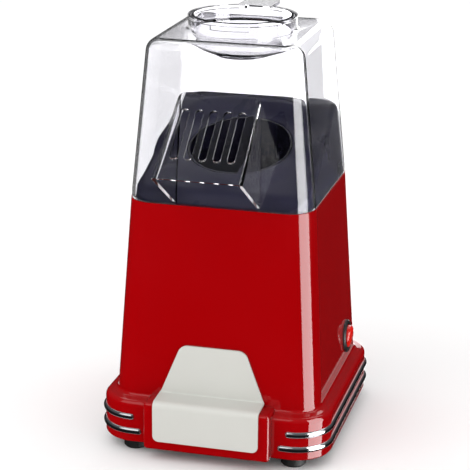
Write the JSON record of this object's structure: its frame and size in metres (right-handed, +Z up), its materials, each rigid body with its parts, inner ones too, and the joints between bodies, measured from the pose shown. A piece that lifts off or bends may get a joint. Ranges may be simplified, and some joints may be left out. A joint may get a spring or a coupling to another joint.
{
  "type": "popcorn maker",
  "caption": "Hot-air popcorn maker with a leaning red housing on a wide chrome-trimmed skirt, clear lift-off cover with a slotted front chute, and a clear measuring cup in its neck.",
  "frame": {"origin": "on the ground under the middle of the overall width and depth", "axes": "+Z up, -Y the front with the chute, +X the side with the switch"},
  "size_m": [0.1602, 0.1934, 0.2875],
  "materials": {
    "red_shell": "high-gloss moulded ABS, deep red",
    "cream_plate": "satin moulded plastic, warm off-white",
    "chrome_trim": "bright plated plastic",
    "black_plastic": "fine-textured moulded plastic",
    "rubber_feet": "matt moulded rubber",
    "steel": "zinc-plated steel",
    "black_rubber": "moulded rubber grommet",
    "red_rocker": "glossy translucent red",
    "clear_plastic": "clear polished polycarbonate",
    "dark_deck": "smooth slate-black heat-proof plastic",
    "gasket": "fibre-filled silicone ring",
    "aluminium": "drawn aluminium sheet",
    "chamber_coat": "drawn aluminium with a dark non-stick coat",
    "mica": "mica sheet",
    "heating_wire": "oxidised resistance wire",
    "white_plastic": "natural heat-proof plastic",
    "winding": "varnished copper windings on a steel stack",
    "zinc_steel": "zinc-plated deep-drawn can",
    "ferrite": "sintered ferrite",
    "board": "green circuit board with four diodes",
    "wire_cover": "insulated leads"
  },
  "bodies": {
    "base": {"housing": "red_shell", "badge_plate": "cream_plate", "trim_upper_left": "chrome_trim", "trim_upper_right": "chrome_trim", "trim_lower_left": "chrome_trim", "trim_lower_right": "chrome_trim", "base_plate": "black_plastic", "feet": "rubber_feet", "base_screws": "steel", "cord_gland": "black_rubber", "switch_body": "black_plastic", "deck": "dark_deck", "deck_screws": "steel", "chamber_gasket": "gasket", "chamber_sleeve": "chamber_coat", "popping_chamber": "chamber_coat", "heater_drum": "aluminium", "mica_frame": "mica", "heater_coil": "heating_wire", "thermostat": "steel", "thermal_fuse": "steel", "tie_rods": "steel", "fan_housing": "white_plastic", "motor_can": "zinc_steel", "motor_magnets": "ferrite", "motor_endcap": "black_plastic", "motor_screws": "steel", "diode_board": "board", "terminal_block": "white_plastic", "wiring": "wire_cover"},
    "cover": {"top_cover": "clear_plastic"},
    "cup": {"measuring_cup": "clear_plastic"},
    "rocker": {"switch_rocker": "red_rocker"},
    "rotor": {"fan": "white_plastic", "motor_shaft": "steel", "armature": "winding"}
  },
  "joints": [
    {"name": "cover_lift", "type": "slide", "parent": "base", "child": "cover", "axis": [0, 0, 1], "range_m": [0, 0.2]},
    {"name": "cup_lift", "type": "slide", "parent": "cover", "child": "cup", "axis": [0, 0, 1], "range_m": [0, 0.1]},
    {"name": "rocker_tilt", "type": "hinge", "parent": "base", "child": "rocker", "pos_m": [0.07, 0.04535, 0.05653], "axis": [0, 1, 0], "range_deg": [-18, 0]},
    {"name": "fan_spin", "type": "hinge", "parent": "base", "child": "rotor", "pos_m": [0, 0.01185, 0.07], "axis": [0, 0, 1], "continuous": true}
  ]
}
